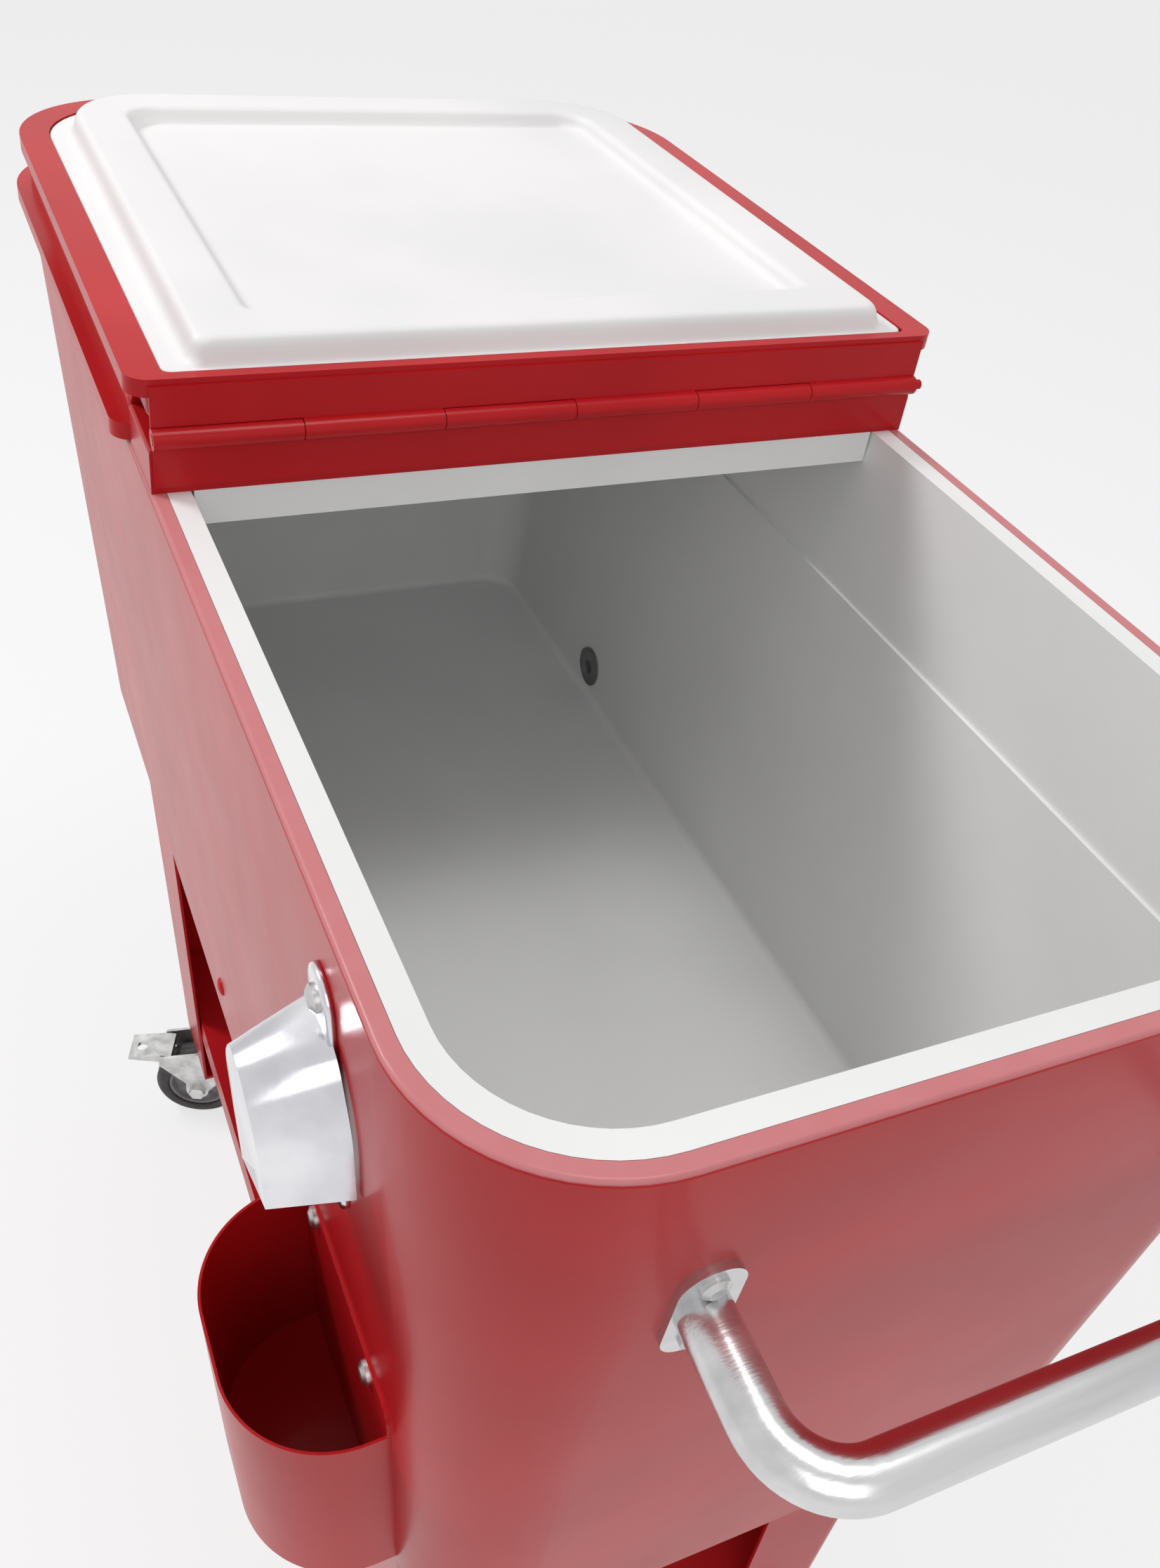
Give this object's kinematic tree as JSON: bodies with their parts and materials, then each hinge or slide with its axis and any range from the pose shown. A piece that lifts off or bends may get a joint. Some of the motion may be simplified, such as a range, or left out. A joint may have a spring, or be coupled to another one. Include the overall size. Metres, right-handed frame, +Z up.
{
  "type": "cooler on wheels",
  "caption": "Insulated patio cooler in painted steel on a leg frame with swivel casters: lids hinged to a centre bar, bottle opener, cap catcher, drain and end handles.",
  "frame": {"origin": "on the ground below the middle of the tub, at the bottom centre of the whole object's box", "axes": "+Z up, +X to the right of someone facing the bottle opener, along the tub's length; +Y away from them"},
  "size_m": [0.9134, 0.443, 0.861],
  "materials": {
    "red_enamel": "gloss powder coat",
    "galvanised_sheet": "dull zinc",
    "foam": "cellular",
    "white_moulding": "satin",
    "polished_casting": "polished",
    "stainless_tube": "brushed",
    "dark_fitting": "satin",
    "gasket_rubber": "matt",
    "wheel_rubber": "matt",
    "zinc_plated": "bright zinc"
  },
  "bodies": {
    "cabinet": {"tub_shell": "red_enamel", "tub_base": "galvanised_sheet", "tub_insulation": "foam", "tub_liner": "white_moulding", "center_bar": "red_enamel", "center_bar_trim": "white_moulding", "drain_fitting": "dark_fitting", "drain_gasket": "gasket_rubber", "drain_nut": "dark_fitting", "bottle_opener": "polished_casting", "opener_screws": "zinc_plated", "cap_catcher": "red_enamel", "catcher_screws": "zinc_plated", "leg_front_left": "red_enamel", "leg_front_right": "red_enamel", "leg_rear_left": "red_enamel", "leg_rear_right": "red_enamel", "leg_bolts": "zinc_plated", "lower_shelf": "red_enamel", "shelf_bolts": "zinc_plated", "caster_bolts": "zinc_plated", "handle_left": "stainless_tube", "handle_right": "stainless_tube", "handle_screws": "zinc_plated", "bar_leaf_left": "red_enamel", "bar_leaf_right": "red_enamel", "hinge_pin_left": "red_enamel", "hinge_pin_right": "red_enamel", "left_lid_skin": "red_enamel", "left_lid_liner": "white_moulding", "left_lid_foam": "foam", "left_lid_leaf": "red_enamel", "caster_plate_front_left": "zinc_plated", "caster_plate_front_right": "zinc_plated", "caster_plate_rear_left": "zinc_plated", "caster_plate_rear_right": "zinc_plated"},
    "right_lid": {"right_lid_skin": "red_enamel", "right_lid_liner": "white_moulding", "right_lid_foam": "foam", "right_lid_leaf": "red_enamel"},
    "swivel_front_left": {"fork_front_left": "zinc_plated", "axle_front_left": "zinc_plated"},
    "roller_front_left": {"wheel_front_left": "wheel_rubber"},
    "pedal_front_left": {"brake_front_left": "zinc_plated"},
    "swivel_front_right": {"fork_front_right": "zinc_plated", "axle_front_right": "zinc_plated"},
    "roller_front_right": {"wheel_front_right": "wheel_rubber"},
    "pedal_front_right": {"brake_front_right": "zinc_plated"},
    "swivel_rear_left": {"fork_rear_left": "zinc_plated", "axle_rear_left": "zinc_plated"},
    "roller_rear_left": {"wheel_rear_left": "wheel_rubber"},
    "swivel_rear_right": {"fork_rear_right": "zinc_plated", "axle_rear_right": "zinc_plated"},
    "roller_rear_right": {"wheel_rear_right": "wheel_rubber"},
    "spout_cap": {"drain_cap": "dark_fitting"}
  },
  "joints": [
    {"name": "right_lid_hinge", "type": "hinge", "parent": "cabinet", "child": "right_lid", "pos_m": [0.0236, 0, 0.825], "axis": [0, 1, 0], "range_deg": [0, 180]},
    {"name": "swivel_front_left", "type": "hinge", "parent": "cabinet", "child": "swivel_front_left", "pos_m": [-0.2775, -0.101, 0.09], "axis": [0, 0, 1], "continuous": true},
    {"name": "roll_front_left", "type": "hinge", "parent": "swivel_front_left", "child": "roller_front_left", "pos_m": [-0.28874, -0.12882, 0.0375], "axis": [-0.9272, 0.3746, 0], "continuous": true},
    {"name": "brake_front_left", "type": "hinge", "parent": "swivel_front_left", "child": "pedal_front_left", "pos_m": [-0.29885, -0.15385, 0.0735], "axis": [-0.9272, 0.3746, 0], "range_deg": [-8, 0]},
    {"name": "swivel_front_right", "type": "hinge", "parent": "cabinet", "child": "swivel_front_right", "pos_m": [0.2775, -0.101, 0.09], "axis": [0, 0, 1], "continuous": true},
    {"name": "roll_front_right", "type": "hinge", "parent": "swivel_front_right", "child": "roller_front_right", "pos_m": [0.26342, -0.12749, 0.0375], "axis": [-0.8829, 0.4695, 0], "continuous": true},
    {"name": "brake_front_right", "type": "hinge", "parent": "swivel_front_right", "child": "pedal_front_right", "pos_m": [0.25074, -0.15133, 0.0735], "axis": [-0.8829, 0.4695, 0], "range_deg": [-8, 0]},
    {"name": "swivel_rear_left", "type": "hinge", "parent": "cabinet", "child": "swivel_rear_left", "pos_m": [-0.2775, 0.101, 0.09], "axis": [0, 0, 1], "continuous": true},
    {"name": "roll_rear_left", "type": "hinge", "parent": "swivel_rear_left", "child": "roller_rear_left", "pos_m": [-0.28526, 0.07202, 0.0375], "axis": [-0.9659, 0.2588, 0], "continuous": true},
    {"name": "swivel_rear_right", "type": "hinge", "parent": "cabinet", "child": "swivel_rear_right", "pos_m": [0.2775, 0.101, 0.09], "axis": [0, 0, 1], "continuous": true},
    {"name": "roll_rear_right", "type": "hinge", "parent": "swivel_rear_right", "child": "roller_rear_right", "pos_m": [0.2616, 0.07556, 0.0375], "axis": [-0.848, 0.5299, 0], "continuous": true},
    {"name": "drain_cap_slide", "type": "slide", "parent": "cabinet", "child": "spout_cap", "axis": [0, 1, 0], "range_m": [0, 0.018]}
  ]
}
